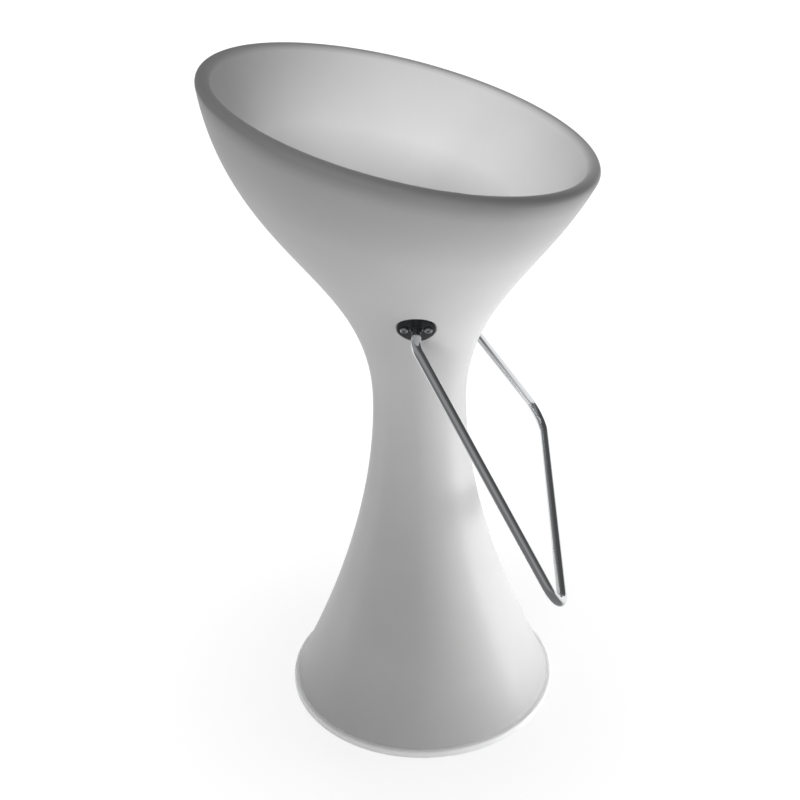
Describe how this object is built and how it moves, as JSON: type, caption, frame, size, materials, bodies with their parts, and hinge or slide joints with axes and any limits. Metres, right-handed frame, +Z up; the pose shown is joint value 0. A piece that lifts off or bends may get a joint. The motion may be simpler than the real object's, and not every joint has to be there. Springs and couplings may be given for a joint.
{
  "type": "bar stool",
  "caption": "Hourglass bar stool in one hollow shell with a slanted bowl seat, a bent chrome footrest and a base plate that holds a battery light unit.",
  "frame": {"origin": "on the floor under the axis of the turned body", "axes": "+Z up along the body's axis, -Y to the front, where the mouth is low and the footrest is, +X to the right seen from the front"},
  "size_m": [0.471, 0.4607, 0.867],
  "materials": {
    "shell_polyethylene": "satin, as moulded, slightly translucent white",
    "plate_plastic": "smooth white",
    "footrest_chrome": "polished chrome plating on steel",
    "screw_steel": "bright zinc plating",
    "insert_brass": "turned",
    "pad_rubber": "matte",
    "unit_plastic": "fine moulded grain",
    "dome_opal": "opal",
    "lamp_board": "white lacquer on aluminium",
    "lamp_yellow": "clear over phosphor",
    "driver_board": "green lacquer",
    "unit_black": "moulded",
    "cell_sleeve": "shrink sleeve over steel can",
    "button_plastic": "polished",
    "flap_rubber": "matte"
  },
  "bodies": {
    "stool": {"body_shell": "shell_polyethylene", "base_plate": "plate_plastic", "base_screws": "screw_steel", "base_inserts": "insert_brass", "foot_pads": "pad_rubber", "footrest_bar": "footrest_chrome", "footrest_flange_left": "footrest_chrome", "footrest_flange_right": "footrest_chrome", "flange_screws_left": "screw_steel", "flange_screws_right": "screw_steel", "flange_inserts_left": "insert_brass", "flange_inserts_right": "insert_brass", "light_tray": "unit_plastic", "tray_gasket": "pad_rubber", "tray_screws": "screw_steel", "light_dome": "dome_opal", "dome_screws": "screw_steel", "led_board": "lamp_board", "led_board_screws": "screw_steel", "leds": "lamp_yellow", "control_board": "driver_board", "control_board_screws": "screw_steel", "battery_holder": "unit_black", "battery_cells": "cell_sleeve", "charge_socket": "unit_black", "button_switch": "unit_black", "plug_anchor": "flap_rubber"},
    "power_button": {"power_button": "button_plastic", "switch_plunger": "unit_black"},
    "port_plug": {"port_plug": "flap_rubber"}
  },
  "joints": [
    {"name": "button_press", "type": "slide", "parent": "stool", "child": "power_button", "axis": [0, 0, 1], "range_m": [0, 0.0015], "stiffness_N_per_m": 600, "springref_m": -0.001},
    {"name": "flap_swing", "type": "hinge", "parent": "stool", "child": "port_plug", "pos_m": [0.018, -0.048, 0.0179], "axis": [0, -1, 0], "range_deg": [0, 100]}
  ]
}
